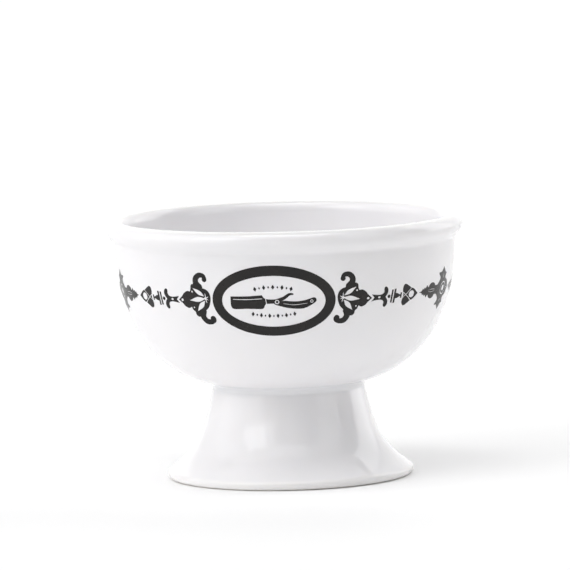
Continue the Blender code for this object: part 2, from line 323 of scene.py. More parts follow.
def glaze_masks(graph, place):
    """Where the glaze pools, with painted shade in the neck's crease, where it runs thin, and where the clay
    is bare.
    """
    across, along, height = graph.axes(place)
    radius = (across * across + along * along) ** 0.5
    uneven = graph.noise(place, MOTTLES_PER_METRE) - 0.5
    over_seat = height - SEAT_HEIGHT
    neck = 1 - graph.rise(over_seat * over_seat, 0.0, COLLAR_REACH**2)
    collar = neck * graph.rise(radius, *COLLAR_INSIDE) * (1 - graph.rise(radius, *COLLAR_OUTSIDE))
    low = 1 - graph.rise(height, SEAT_HEIGHT + FLOOR_THICKNESS, SEAT_HEIGHT + WELL_DEEP_TO)
    inside = graph.rise(height, SEAT_HEIGHT + WELL_STARTS[0], SEAT_HEIGHT + WELL_STARTS[1])
    well = low * inside * (1 - graph.rise(radius, *WELL_RADII))
    # The collar and the well darken the glaze: pooled glaze, and painted shade in the crease of the neck.
    pooled_and_shaded = COLLAR_SHARE * collar + WELL_SHARE * well + MOTTLE_SHARE * uneven
    crest = graph.rise(height + uneven * EDGE_WANDER, RIM_HEIGHT - CREST_DEPTH, RIM_HEIGHT)
    toe = graph.rise(radius + uneven * EDGE_WANDER, FOOT_RADIUS - TOE_DEPTH, FOOT_RADIUS)
    thin = crest + toe * (1 - graph.rise(height, *TOE_UP_TO))
    bare = 1 - graph.rise(height + uneven * BARE_WANDER, *BARE_UP_TO)
    return graph.rise(pooled_and_shaded, *POOLED_AND_SHADED_RANGE), graph.rise(thin, *THIN_RANGE), bare


print("the glaze pools within", COLLAR_REACH / MM, "mm of the seat")

# %% [markdown]
# The relief is a sum of noises at the scales that a potter would name: slow waves from drying, the fine
# rings that a sponge leaves on the wheel, the orange peel of melted glaze, and pinholes where a bubble
# burst. Noise that is squeezed along two axes turns into rings. Each noise is given by its blotches to
# the metre and its detail, and each kind of spot by its cells to the metre, radius and share of cells.

# %% Relief of the glaze
SQUEEZED_INTO_RINGS = (0.05, 0.05, 1.0)
WAVES, WAVE_HEIGHT, SPONGED_HEIGHT = (38.0, 1.0), 0.022, 0.05
RINGS, RING_HEIGHT = (420.0, 3.0), 0.0035 * MM
PEEL, PEEL_HEIGHT = (340.0, 1.0), 0.0022 * MM
PINHOLES, PINHOLE_DEPTH = (240.0, 0.11 * MM, 0.05), 0.03 * MM


def glaze_relief(graph, place, sponged):
    """Height of the glaze in metres."""
    stretched = graph.vectors("MULTIPLY", place, SQUEEZED_INTO_RINGS)
    waves = graph.noise(place, *WAVES) * (WAVE_HEIGHT + SPONGED_HEIGHT * sponged) * MM
    wheel = graph.noise(stretched, *RINGS) * RING_HEIGHT
    peel = graph.noise(place, *PEEL) * PEEL_HEIGHT
    return waves + wheel + peel - graph.spots(place, *PINHOLES) * PINHOLE_DEPTH


print("waves in the glaze, in mm:", WAVE_HEIGHT, "and", WAVE_HEIGHT + SPONGED_HEIGHT, "if sponged")

# %% [markdown]
# Now the finish itself. The clay's white is laid down first and the masks tint it, one blend after
# another, the way the layers lie on the mug. A little light goes under the surface, as it does in
# porcelain, which softens the shadows on it.

# %% The porcelain finish
CLAY_WHITE = (0.900, 0.889, 0.902, 1.0)
CLAY_SHADE = (0.880, 0.873, 0.890, 1.0)
# The pooled colour is darker as well as bluer than the clay: a tint of pooled glaze, and painted shade in the
# crease of the neck.
POOLED_GLAZE_AND_SHADE = (0.800, 0.810, 0.830, 1.0)
THIN_GLAZE = (0.905, 0.888, 0.872, 1.0)
BARE_CLAY = (0.70, 0.67, 0.62, 1.0)
IRON_SPECK = (0.13, 0.09, 0.06, 1.0)
CLOUDS_PER_METRE, CLOUD_RANGE = 26.0, (0.35, 0.7)
SPECKS = (95.0, 0.22 * MM, 0.06)
GRIT, GRIT_HEIGHT, GRIT_TINT = (2600.0, 3.0), 0.02 * MM, 0.25
THIN_TINT = 0.8
GLAZE_ROUGHNESS, DULLER_BLOTCHES, BLOTCHES_PER_METRE = 0.055, 0.05, 150.0
THIN_ROUGHER, BARE_ROUGHER = 0.06, 0.55
GLAZE_IOR = 1.55
UNDER_THE_SURFACE, LIGHT_REACH, LIGHT_REACH_RGB = 0.08, 1.2 * MM, (1.0, 0.85, 0.7)


def porcelain(name, sponged):
    """White clay under clear glaze. sponged, 0 to 1, makes the surface more uneven."""
    made, graph = new_finish(name)
    place = graph.node("ShaderNodeTexCoord").output("Object")
    pooled_and_shaded, thin, bare = glaze_masks(graph, place)
    clouds = graph.rise(graph.noise(place, CLOUDS_PER_METRE), *CLOUD_RANGE)
    colour = graph.blend(clouds, CLAY_WHITE, CLAY_SHADE)
    # Darker, bluish glaze in the collar and the well: pooled glaze, and painted shade in the neck's crease.
    colour = graph.blend(pooled_and_shaded, colour, POOLED_GLAZE_AND_SHADE)
    colour = graph.blend(thin * THIN_TINT, colour, THIN_GLAZE)
    colour = graph.blend(graph.spots(place, *SPECKS), colour, IRON_SPECK)
    grit = graph.noise(place, *GRIT)
    colour = graph.blend(bare * (1 - GRIT_TINT + GRIT_TINT * grit), colour, BARE_CLAY)
    roughness = GLAZE_ROUGHNESS + DULLER_BLOTCHES * graph.noise(place, BLOTCHES_PER_METRE)
    roughness = roughness + THIN_ROUGHER * thin + BARE_ROUGHER * bare
    end_finish(
        graph,
        glaze_relief(graph, place, sponged) + bare * grit * GRIT_HEIGHT,
        {
            "Base Color": colour,
            "Roughness": roughness,
            "IOR": GLAZE_IOR,
            "Subsurface Weight": UNDER_THE_SURFACE,
            "Subsurface Radius": LIGHT_REACH_RGB,
            "Subsurface Scale": LIGHT_REACH,
        },
    )
    print(f"{name}: {len(graph.tree.nodes)} nodes")
    return made


glaze = porcelain("porcelain_glaze", sponged=0.0)
seam_glaze = porcelain("sponged_seam_glaze", sponged=1.0)

# %% [markdown]
# ## Black enamel
#
# The band is printed in black ceramic enamel on transfer paper, floated onto the glazed mug and fired
# again, so that it melts into the glaze. It dries a few hundredths of a millimetre proud. Fired black is
# not flat black: it is glossy where it melted well and duller in patches, slightly brown where it is
# thin, and the white shows through in a few pinholes.

# %% The enamel finish
ENAMEL_BLACK = (0.0050, 0.0042, 0.0040, 1.0)
ENAMEL_THIN = (0.0120, 0.0098, 0.0088, 1.0)
ENAMEL_PINHOLE = (0.32, 0.31, 0.30, 1.0)
PATCHES, PATCH_RANGE = (170.0, 4.0), (0.40, 0.68)
GAPS = (700.0, 0.07 * MM, 0.05)
ENAMEL_ROUGHNESS, DULLER_IN_PATCHES = 0.13, 0.17
GRAIN_PER_METRE, GRAIN_ROUGHNESS = 1500.0, 0.06
FINE_BUMPS, FINE_BUMP_HEIGHT = (800.0, 3.0), 0.004 * MM
SLOW_BUMPS_PER_METRE, SLOW_BUMP_HEIGHT = 120.0, 0.01 * MM
ENAMEL_IOR, ENAMEL_SHINE = 1.5, 0.35


def black_enamel():
    made, graph = new_finish("black_enamel")
    place = graph.node("ShaderNodeTexCoord").output("Object")
    patches = graph.rise(graph.noise(place, *PATCHES), *PATCH_RANGE)
    colour = graph.blend(patches, ENAMEL_BLACK, ENAMEL_THIN)
    colour = graph.blend(graph.spots(place, *GAPS), colour, ENAMEL_PINHOLE)
    grain = graph.noise(place, GRAIN_PER_METRE)
    fine = graph.noise(place, *FINE_BUMPS) * FINE_BUMP_HEIGHT
    slow = graph.noise(place, SLOW_BUMPS_PER_METRE) * SLOW_BUMP_HEIGHT
    end_finish(
        graph,
        fine + slow,
        {
            "Base Color": colour,
            "Roughness": ENAMEL_ROUGHNESS + DULLER_IN_PATCHES * patches + GRAIN_ROUGHNESS * grain,
            "IOR": ENAMEL_IOR,
            "Specular IOR Level": ENAMEL_SHINE,
        },
    )
    print(f"black_enamel: {len(graph.tree.nodes)} nodes")
    return made


enamel = black_enamel()

# %% [markdown]
# ## The turned pieces
#
# A potter shapes the bowl and the foot against a template, so each is a profile spun round an axis. The
# recipe does the same: it lays out a grid with one column for each step of the turn and one row for each
# point of the profile, sends every grid point to its place in space, and welds the first column to the
# last. A Screw modifier could spin the line too, but the grid lets the recipe add the pot's drift before
# the weld, so the seam still closes exactly.

# %% The recipe for turning
TURNS = 288
WELD = 0.0005 * MM


def turning_recipe():
    """A profile line, spun into a closed surface. The grid it starts from spans -0.5 to 0.5 both ways."""
    graph, given = new_recipe("turned_on_the_wheel", {"Turns": "Int", "Drift": "Float", "Finish": "Material"})
    profile = given["Geometry"]
    rows = graph.node("GeometryNodeAttributeDomainSize", {"Geometry": profile}, component="MESH")
    columns = {"Size X": 1.0, "Vertices X": given["Turns"] + 1}
    grid = graph.node("GeometryNodeMeshGrid", {**columns, "Size Y": 1.0, "Vertices Y": rows})
    place = graph.node("GeometryNodeInputPosition")
    round_share, row_share, _ = graph.axes(place)
    point = graph.node(
        "GeometryNodeSampleIndex",
        {"Geometry": profile, "Value": place, "Index": graph.maths("ROUND", (row_share + 0.5) * (rows - 1))},
        data_type="FLOAT_VECTOR",
    )
    angle = (round_share + 0.5) * math.tau
    spun = graph.node("ShaderNodeVectorRotate", {"Vector": point, "Angle": angle}, rotation_type="Z_AXIS")
    moved = {"Geometry": grid, "Position": drifted(graph, spun, given["Drift"])}
    shaped = graph.node("GeometryNodeSetPosition", moved)
    welded = graph.node("GeometryNodeMergeByDistance", {"Geometry": shaped, "Distance": WELD})
    smooth = graph.node("GeometryNodeSetShadeSmooth", {"Geometry": welded, "Shade Smooth": True})
    return end_recipe(graph, smooth, given["Finish"])


def turned(name, profile, finish):
    values = {"Turns": TURNS, "Drift": DRIFT, "Finish": finish}
    piece = grown(name, seed_line(name + "_profile", profile), (turning, values))
    measured(piece)
    return piece


turning = turning_recipe()
print("turning recipe:", len(turning.nodes), "nodes")

# %% [markdown]
# ## Profiles
#
# Each profile is a few Bezier curves and quarter arcs in the plane of radius and height. The measures
# come from the frame: the lip's radius, the seat where the bowl meets the foot, the foot's radius. The
# rest are the potter's own curves, in millimetres.

# %% Drawing a profile
NECK_RADIUS = 23.4 * MM
SLIP_IN = 1.0 * MM
LIP_RISE = 3.0 * MM
LIP_CREST_IN = 2.85 * MM
LIP_DROP = 4.8 * MM
SHOULDER_IN = 2.45 * MM
INNER_LIP_IN = 5.45 * MM
INNER_LIP_DROP = 3.5 * MM
BELLY_STEPS = 84
SAME_POINT = 1e-7


def at(radius, height):
    """A point of a profile, from its radius and height in metres."""
    return Vector((radius, 0.0, height))


def mm(outwards, upwards):
    """A step of a profile, in millimetres."""
    return at(outwards * MM, upwards * MM)


def away(length, degrees):
    """A step of that length in the direction of an angle above the outward horizontal."""
    return at(length * math.cos(math.radians(degrees)), length * math.sin(math.radians(degrees)))


def bezier(start, start_pull, end_pull, end, steps):
    """A Bezier curve whose handles are steps away from its two ends."""
    return interpolate_bezier(start, start + start_pull, end + end_pull, end, steps + 1)


def quarter(centre, reach, rise, start, steps):
    """A quarter of an ellipse, turning anticlockwise from a start angle in degrees."""
    angles = [math.radians(start + 90 * i / steps) for i in range(steps + 1)]
    return [centre + at(reach * math.cos(a), rise * math.sin(a)) for a in angles]


def joined(*stretches):
    """Stretches one after another, without the points that they share."""
    points = list(stretches[0])
    for stretch in stretches[1:]:
        points += stretch[1:] if (stretch[0] - points[-1]).length < SAME_POINT else stretch
    return points


neck = at(NECK_RADIUS - SLIP_IN, SEAT_HEIGHT)
shoulder = at(LIP_RADIUS - SHOULDER_IN, RIM_HEIGHT - LIP_RISE - LIP_DROP)
widest = at(LIP_RADIUS, RIM_HEIGHT - LIP_RISE)
belly_leaves_neck = away(17.9 * MM, 12)
belly_meets_lip = away(-26.3 * MM, 89)
belly = bezier(neck, belly_leaves_neck, belly_meets_lip, shoulder, BELLY_STEPS)
ends = [[round(c / MM, 1) for c in end.xz] for end in (belly[0], belly[-1])]
print("the belly line runs from", ends[0], "to", ends[1], "mm")

# %% [markdown]
# ## The bowl
#
# The wall is about four millimetres thick and swells into a rolled lip, which keeps the lather in and
# gives the fingers something to hold. The profile starts on the axis under the floor, follows the belly
# up and out, rounds the lip and comes down the inner wall to the axis again.

# %% Turn the bowl
UNDERSIDE_RINGS = (0, 0.02, 0.2, 0.4, 0.6, 0.8, 1)
LIP_STEPS, INNER_LIP_STEPS, INNER_WALL_STEPS = 14, 16, 90
INNER_WALL_LEAVES_LIP = mm(-1.0, -32.5)
INNER_WALL_MEETS_FLOOR = mm(34.0, 0)


def bowl_profile():
    crest = LIP_RADIUS - LIP_CREST_IN
    inner = LIP_RADIUS - INNER_LIP_IN
    underside = [at(neck.x * share, SEAT_HEIGHT) for share in UNDERSIDE_RINGS]
    swell = bezier(shoulder, mm(0, 1.6), mm(0, -2.3), widest, LIP_STEPS)
    outside = quarter(at(crest, widest.z), LIP_CREST_IN, LIP_RISE, 0, LIP_STEPS)
    hang = at(crest, RIM_HEIGHT - INNER_LIP_DROP)
    inside = quarter(hang, crest - inner, INNER_LIP_DROP, 90, INNER_LIP_STEPS)
    floor = at(0, SEAT_HEIGHT + FLOOR_THICKNESS)
    wall = bezier(inside[-1], INNER_WALL_LEAVES_LIP, INNER_WALL_MEETS_FLOOR, floor, INNER_WALL_STEPS)
    return joined(underside, belly, swell, outside, inside, wall)


bowl = turned("porcelain_bowl", bowl_profile(), glaze)
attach(bowl, "root")
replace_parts(bowl, "bowl")

# %% [markdown]
# ## The foot
#
# The foot is a flared tube with an even wall, thrown upside down. It stands on a narrow flat ring with a
# rounded outer edge. Its profile is a closed loop that never touches the axis: up the waisted outside,
# across the top, down the hollow and along the ring.

# %% Turn the foot
TOE_IN = 1.7 * MM
TOE_RISE = 1.9 * MM
RING_WIDTH = 2.4 * MM
HOLLOW_TOP_RADIUS = NECK_RADIUS - 4.6 * MM
FOOT_TOP = SEAT_HEIGHT - 0.7 * MM
TOE_STEPS, FLARE_STEPS, EDGE_STEPS = 14, 60, 5


def foot_profile():
    toe = quarter(at(FOOT_RADIUS - TOE_IN, TOE_RISE), TOE_IN, TOE_RISE, -90, TOE_STEPS)
    flare_low = at(FOOT_RADIUS - 0.8 * MM, 3.0 * MM)
    flare_high = at(NECK_RADIUS, FOOT_TOP)
    flare = bezier(flare_low, mm(-9.0, 6.4), mm(3.0, -13.9), flare_high, FLARE_STEPS)
    cheek = bezier(toe[-1], mm(0, 0.35), mm(0.5, -0.36), flare_low, EDGE_STEPS)
    top_radii = (NECK_RADIUS, (NECK_RADIUS + HOLLOW_TOP_RADIUS) / 2, HOLLOW_TOP_RADIUS)
    top = [at(radius, FOOT_TOP) for radius in top_radii]
    ring_in = FOOT_RADIUS - TOE_IN - RING_WIDTH
    hollow_low = at(ring_in - 0.5 * MM, 0.4 * MM)
    hollow = bezier(top[-1], mm(3.0, -14.9), mm(-6.6, 6.4), hollow_low, FLARE_STEPS)
    inner_edge = bezier(hollow[-1], mm(0.25, -0.24), mm(-0.25, 0), at(ring_in, 0), EDGE_STEPS)
    ring = [at(ring_in, 0), at(ring_in + RING_WIDTH / 2, 0), toe[0]]
    return joined(toe, cheek, flare, top, hollow, inner_edge, ring)


foot = turned("porcelain_foot", foot_profile(), glaze)
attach(foot, "root")
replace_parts(foot, "foot")

# %% [markdown]
# ## The seam of slip
#
# Bowl and foot are thrown apart and luted together with slip, which is clay thinned to a cream. What
# squeezes out is sponged into a hollow fillet, outside under the belly and inside round the top of the
# hollow. It is a ring of its own whose visible faces run out of the foot and into the bowl.

# %% Turn the seam
FILLET_LOW = 2.4 * MM
FILLET_OUT = 26.0 * MM
INNER_FILLET = 2.0 * MM
FILLET_STEPS, INNER_FILLET_STEPS = 18, 12


def seam_profile():
    on_foot = at(NECK_RADIUS + 0.25 * MM, SEAT_HEIGHT - FILLET_LOW)
    on_belly = next(point for point in belly if point.x > FILLET_OUT)
    outside = bezier(on_foot, mm(-0.45, 1.9), mm(-1.7, -0.42), on_belly, FILLET_STEPS)
    hidden = [on_belly + mm(-1.5, 0.8), at(HOLLOW_TOP_RADIUS, SEAT_HEIGHT + 1.0 * MM)]
    under = at(HOLLOW_TOP_RADIUS - INNER_FILLET, SEAT_HEIGHT)
    on_hollow = at(HOLLOW_TOP_RADIUS + 0.2 * MM, SEAT_HEIGHT - INNER_FILLET - 0.4 * MM)
    inside = bezier(under, mm(1.1, 0), mm(-0.1, 1.2), on_hollow, INNER_FILLET_STEPS)
    back = [at(NECK_RADIUS - 1.5 * MM, on_hollow.z), on_foot]
    return joined(outside, hidden, inside, back)


seam = turned("luted_seam", seam_profile(), seam_glaze)
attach(seam, "root")
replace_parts(seam, "luting_seam")

# %% [markdown]
# ## Drawing the band flat
#
# A transfer starts as a flat drawing, so the band is drawn flat too, in millimetres: x runs round the
# belly from the middle of the oval frame, y runs up it. A drawing is a pile of cut paper. Each layer is
# an outline that lays ink down or takes it away, and the topmost layer over a spot decides. Blender's
# constrained Delaunay triangulation finds every region of such a pile in one go. Lines added every
# millimetre split the shapes, so that they can bend round the belly afterwards.

# %% Outlines
INK, BARE = True, False
OUTLINE_STEPS = 6
OVAL_STEPS, SMALL_OVAL_STEPS = 28, 16
BRUSH_STEPS = 5
LEAF_WIDEST_AT = 0.45


def outline(*knots):
    """A closed line through its knots. A knot with a third value is a sharp corner."""
    points = []
    for i, knot in enumerate(knots):
        following = knots[(i + 1) % len(knots)]
        here, ahead = Vector(knot[:2]), Vector(following[:2])
        behind, beyond = Vector(knots[i - 1][:2]), Vector(knots[(i + 2) % len(knots)][:2])
        leave = ahead - here if len(knot) == 3 else (ahead - behind) / 2
        arrive = ahead - here if len(following) == 3 else (beyond - here) / 2
        curve = interpolate_bezier(here, here + leave / 3, ahead - arrive / 3, ahead, OUTLINE_STEPS + 1)
        points += curve[:-1]
    return points


def mirrored(knots):
    """Knots on one side of the middle line, and their mirror images back again."""
    back = [(knot[0], -knot[1], *knot[2:]) for knot in reversed(knots) if knot[1] != 0]
    return outline(*knots, *back)


def both(points):
    """A closed line and its mirror image across the middle line."""
    return [points, [Vector((p.x, -p.y)) for p in points]]


def oval(x, y, half_width, half_height=None, steps=OVAL_STEPS):
    """An ellipse, or a circle when it has no second size."""
    turn = [math.tau * i / steps for i in range(steps)]
    tall = half_width if half_height is None else half_height
    return [Vector((x + half_width * math.cos(a), y + tall * math.sin(a))) for a in turn]


def leaf(x0, y0, x1, y1, width):
    start, end = Vector((x0, y0)), Vector((x1, y1))
    across = (end - start).orthogonal().normalized() * width / 2
    middle = start.lerp(end, LEAF_WIDEST_AT)
    return outline((*start, 1), tuple(middle + across), (*end, 1), tuple(middle - across))


def brush(path, widths):
    """A brush stroke through a few points, with a width at each and round ends, as three outlines."""
    centre, breadth = [], []
    last = len(path) - 1
    for i in range(last):
        here, ahead = Vector(path[i]), Vector(path[i + 1])
        leave = (ahead - Vector(path[max(i - 1, 0)])) / 2
        arrive = (Vector(path[min(i + 2, last)]) - here) / 2
        kept = BRUSH_STEPS + (i == last - 1)
        curve = interpolate_bezier(here, here + leave / 3, ahead - arrive / 3, ahead, BRUSH_STEPS + 1)
        centre += curve[:kept]
        breadth += [widths[i] + (widths[i + 1] - widths[i]) * k / BRUSH_STEPS for k in range(kept)]
    left, right = [], []
    for i, point in enumerate(centre):
        ahead = centre[min(i + 1, len(centre) - 1)] - centre[max(i - 1, 0)]
        across = ahead.orthogonal().normalized() * breadth[i] / 2
        left.append(point + across)
        right.append(point - across)
    tips = ((centre[0], widths[0]), (centre[-1], widths[-1]))
    return [left + right[::-1]] + [oval(*tip, width / 2, steps=SMALL_OVAL_STEPS) for tip, width in tips]


def bar(x, width, half_height, lean=0.0):
    """An upright bar across the middle line, leaning outwards at the top."""
    corners = [(-1, -1), (1, -1), (1, 1), (-1, 1)]
    return [Vector((x + i * width / 2 + lean * j * half_height, j * half_height)) for i, j in corners]


def inked(outlines):
    return [(points, INK) for points in outlines]


def bared(outlines):
    return [(points, BARE) for points in outlines]


print("a smooth outline through 4 knots has", len(outline((0, 0), (1, 0), (1, 1), (0, 1))), "points")

# %% [markdown]
# ## The motifs
#
# Out from each side of the oval frame runs the same chain: a palmette with two volutes, a waisted link,
# a baluster, a spade with an eye, a scaled finial and a rosette. The print was drawn by hand, so the
# palmette's two volutes differ a little and the baluster's collars lean.

# %% Frame and palmette
FRAME_HALF_WIDTH = 18.95
FRAME_HALF_HEIGHT = 11.2
FRAME_LINE = 3.15
FRAME_STEPS, FRAME_INSIDE_STEPS = 140, 120


def oval_frame():
    outside = oval(0, 0, FRAME_HALF_WIDTH, FRAME_HALF_HEIGHT, FRAME_STEPS)
    inner_size = (FRAME_HALF_WIDTH - FRAME_LINE, FRAME_HALF_HEIGHT - FRAME_LINE)
    return inked([outside]) + bared([oval(0, 0, *inner_size, FRAME_INSIDE_STEPS)])


def palmette():
    heart = outline(
        (19.6, 0.5), (19.75, 2.2), (20.7, 3.45), (22.4, 4.1), (23.8, 5.0), (25.2, 5.2), (26.0, 4.7),
        (26.2, 3.6), (26.55, 2.75, 1), (27.6, 2.85), (28.9, 2.1), (29.7, 1.15), (31.1, 0, 1), (29.7, -1.1),
        (28.9, -2.0), (27.6, -2.5), (26.6, -2.1, 1), (26.1, -3.1), (25.5, -3.6), (25.3, -4.6), (24.4, -5.2),
        (23.0, -4.7), (21.6, -3.1), (20.3, -1.7),
    )
    upper = brush(
        [(23.3, 4.2), (24.15, 5.6), (24.0, 7.0), (22.9, 7.9), (21.6, 7.8), (21.05, 7.0)],
        [2.6, 1.95, 1.8, 1.6, 1.4, 1.25],
    )
    lower = brush(
        [(22.8, -3.4), (22.95, -5.1), (22.0, -6.5), (20.6, -6.75), (19.55, -6.3), (19.4, -5.8)],
        [2.6, 2.0, 1.9, 1.7, 1.6, 1.6],
    )
    knots = [oval(21.15, 6.65, 0.78), oval(19.6, -5.65, 0.92)]
    leaves = [leaf(21.2, 0.75, 27.0, -0.05, 1.55), leaf(21.6, 1.35, 25.5, 3.9, 1.3)]
    leaves += [leaf(21.5, 0.1, 24.6, -3.4, 1.5)]
    rays = [leaf(21.3, 0.8, 20.2, 1.35, 0.3), leaf(21.3, 0.8, 20.3, 0.2, 0.3)]
    rays += [leaf(21.2, 0.8, 21.35, 2.5, 0.3), leaf(21.3, 0.8, 20.9, -0.9, 0.3), oval(21.35, 0.75, 0.42)]
    dots = [oval(29.7, 0, 0.42), oval(25.75, 2.75, 0.27), oval(25.7, -2.2, 0.24)]
    return inked([heart, *upper, *lower, *knots]) + bared(leaves + rays + dots)


print("palmette layers:", len(palmette()))

# %% [markdown]
# The next three are small and almost symmetrical about the middle line, so half an outline and its
# mirror image draw most of them. Where two halves must differ, or a bar leans, they are drawn whole.

# %% Link, baluster and spade


def link():
    half = [(31.95, 0, 1), (30.9, 1.1, 1), (32.4, 0.86), (33.8, 0.76), (34.9, 1.0), (35.4, 1.7), (35.3, 2.45)]
    half += [(35.5, 3.05), (36.15, 3.15), (36.8, 2.35), (36.75, 1.1), (35.95, 0, 1)]
    return inked([mirrored(half)]) + bared([oval(33.7, 0, 0.45, 0.32)])


def baluster():
    vase = mirrored([(39.7, 0.85, 1), (40.6, 0.75), (41.5, 0.32), (42.4, 0.25, 1)])
    collars = [bar(38.45, 0.6, 2.05, 0.09), bar(39.5, 0.66, 2.2, 0.09), bar(42.15, 0.55, 0.85, 0.05)]
    return inked([oval(37.3, 0, 0.56), vase, *collars])


def spade():
    lobe = outline(
        (42.95, 0.9), (42.75, 2.2), (43.2, 3.2), (44.2, 3.3), (46.6, 1.9, 1), (45.2, 0.6, 1), (43.2, 0.1, 1)
    )
    lozenge = mirrored([(43.0, 0, 1), (45.5, 1.25), (46.7, 1.9), (47.9, 1.45), (49.7, 0, 1)])
    groove = brush([(47.2, 2.45), (44.4, 0.15), (42.4, -1.2)], [0.24, 0.22, 0.2])[0]
    eye = oval(46.75, 0, 1.2, 1.12)
    return inked([*both(lobe), lozenge]) + bared([*both(groove), eye])


print("link, baluster and spade layers:", len(link()), len(baluster()), len(spade()))

# %% [markdown]
# The finial's scales are corners in a row along its edge. The rosette is built round its own middle, so
# that the whole flower moves with one number, and its rings are layers of bare glaze and ink in turn.
# The spindle fills the gap between the chains of the two faces, a quarter turn from each.

# %% Finial, rosette and side spindle
ROSETTE_AT = 66.0


def finial():
    cone = [(50.5, 0, 1), (51.7, 0.3), (52.3, 1.05, 1), (52.75, 0.7, 1), (53.3, 1.35, 1), (53.8, 0.95, 1)]
    cone += [(54.5, 1.95, 1), (55.1, 1.3, 1), (56.4, 1.2), (61.2, 1.5, 1), (61.2, 0, 1)]
    lobes = both(oval(57.6, 1.05, 2.0, 1.5))
    veins = both(brush([(55.6, 0.2), (57.6, 0.42), (59.6, 0.2)], [0.1, 0.16, 0.1])[0])
    return inked([mirrored(cone), *lobes]) + bared(veins)


def rosette():
    half = [(-4.7, 0, 1), (-4.7, 1.55, 1), (-3.4, 2.7), (-3.2, 3.7), (-4.2, 4.6), (-4.3, 5.2, 1)]
    half += [(-2.7, 5.15), (-1.7, 5.8), (-0.8, 6.8, 1), (0.2, 5.7), (0.9, 5.0), (2.1, 4.7, 1)]
    half += [(1.2, 3.6), (1.8, 2.8), (3.4, 2.1), (4.7, 0, 1)]
    x = ROSETTE_AT
    edge = mirrored([(x + knot[0], *knot[1:]) for knot in half])
    petals = both(leaf(x - 0.5, 2.8, x - 0.8, 4.9, 0.45))
    slits = [leaf(x + 2.6, 0, x + 4.0, 0, 0.4)]
    rings = [(oval(x, 0, 2.1), BARE), (oval(x, 0, 1.75), INK), (oval(x, 0, 0.95), BARE)]
    return inked([edge]) + bared(petals + slits) + rings


def side_spindle():
    x = math.pi / 2 * band_radius / MM
    core = mirrored([(x - 2.6, 0, 1), (x - 1.0, 1.5), (x, 2.9, 1), (x + 1.0, 1.5), (x + 2.6, 0, 1)])
    shapes = [core, bar(x, 12.4, 0.32)]
    for way in (-1, 1):
        shapes += [bar(x + way * 3.9, 0.5, 1.5), bar(x + way * 4.8, 0.5, 1.8)]
        shapes.append(mirrored([(x + way * 5.4, 0, 1), (x + way * 6.2, 1.0), (x + way * 8.0, 0, 1)]))
    return inked(shapes) + [(oval(x, 0, 1.0, 1.15), BARE), (oval(x, 0, 0.45, 0.5), INK)]


print("finial and rosette layers:", len(finial()), len(rosette()))

# %% [markdown]
# ## The emblem
#
# Inside each oval stands a plain open razor with its blade to the left, the sign of the barber's trade.
# The white lines are the edge of the hollow grind and the joint of the scales, and the two rings are
# the pins that hold the scales together.

# %% Razor


def razor():
    blade = outline(
        (-13.1, 0.2), (-13.0, 1.65, 1), (-8.0, 1.75), (-3.4, 2.1, 1), (-2.5, 1.05), (-0.6, 0.75),
        (1.6, 0.9, 1), (1.6, -0.55, 1), (-0.8, -0.55), (-2.3, -0.75), (-2.9, -1.9), (-3.9, -2.25),
        (-8.0, -2.2), (-12.0, -2.3), (-13.0, -1.6),
    )
    tail = brush([(1.2, 0.3), (3.2, 1.15), (4.8, 2.3), (5.9, 2.35)], [1.3, 1.0, 0.8, 0.45])
    scales = brush([(1.1, -0.1), (5.0, -0.95), (9.0, -0.95), (12.2, 0.35)], [1.9, 2.2, 2.5, 1.7])
    grind = brush([(-12.3, 0.75), (-8.0, 0.72), (-3.3, 1.0)], [0.2, 0.26, 0.2])[0]
    joint = brush([(3.0, -0.55), (6.5, -1.0), (10.3, -0.55)], [0.12, 0.2, 0.12])[0]
    gap = brush([(2.3, 0.35), (3.8, 0.6), (6.0, 1.1)], [0.2, 0.5, 0.7])[0]
    heel = bar(-2.15, 0.22, 1.0, -0.15)
    pins = [(oval(1.15, -0.05, 0.68), BARE), (oval(1.15, -0.05, 0.4), INK)]
    pins += [(oval(11.6, 0.05, 0.5), BARE), (oval(11.6, 0.05, 0.26), INK)]
    return inked([blade, *scales]) + bared([gap]) + inked(tail) + bared([grind, joint, heel]) + pins


print("razor layers:", len(razor()))

# %% [markdown]
# ## Wrapping the drawing round the belly
#
# The recipe takes a flat sheet whose underside is at z = 0 and whose face is at z = 1, and reads each
# point as a place on the mug: x becomes an angle round the axis, y a length along the belly line, z the
# height above the glaze. The Sample Curve node gives the point and the direction of the belly line at a
# length, so the sheet follows the real profile. The underside sinks a little into the glaze, as fired
# enamel does, and a fine noise makes the printed edges slightly ragged. The whole band sits a hair out
# of level, because it is laid on by hand.

# %% The recipe for wrapping
BAND_HEIGHT = 59.3 * MM
PRINT_SUNK = 0.05 * MM
PRINT_PROUD = 0.035 * MM
OUT_OF_LEVEL = 0.5 * MM
RAGGED, RAGS = 0.03 * MM, (2200.0, 1.0)


def along_belly(height):
    """The length of the belly line up to a height, and its radius there."""
    length = 0.0
    for below, above in zip(belly, belly[1:]):
        if above.z > height:
            share = (height - below.z) / (above.z - below.z)
            return length + share * (above - below).length, below.lerp(above, share).x
        length += (above - below).length


